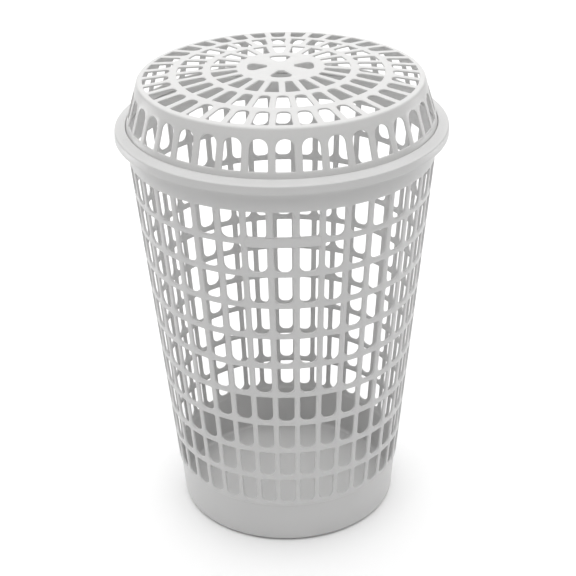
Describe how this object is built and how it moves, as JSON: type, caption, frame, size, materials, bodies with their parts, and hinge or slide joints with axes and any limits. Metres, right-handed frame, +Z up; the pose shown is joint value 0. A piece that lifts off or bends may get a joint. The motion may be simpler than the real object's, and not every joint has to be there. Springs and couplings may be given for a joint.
{
  "type": "laundry hamper with lid",
  "caption": "Tall tapered round laundry hamper: a slotted plastic basket with a broad rolled rim and a domed, pierced lid that lifts off.",
  "frame": {"origin": "centre of the basket's flat underside, on the ground", "axes": "+Z up the hamper's axis, -Y towards the front with the blank badge plate, +X to the right seen from the front"},
  "size_m": [0.4018, 0.4006, 0.5879],
  "materials": {
    "basket_plastic": "satin off-white polypropylene",
    "lid_plastic": "satin off-white polypropylene"
  },
  "bodies": {
    "basket": {"basket": "basket_plastic"},
    "lid": {"lid": "lid_plastic"}
  },
  "joints": [
    {"name": "lid_lift", "type": "slide", "parent": "basket", "child": "lid", "axis": [0, 0, 1], "range_m": [0, 0.3]}
  ]
}
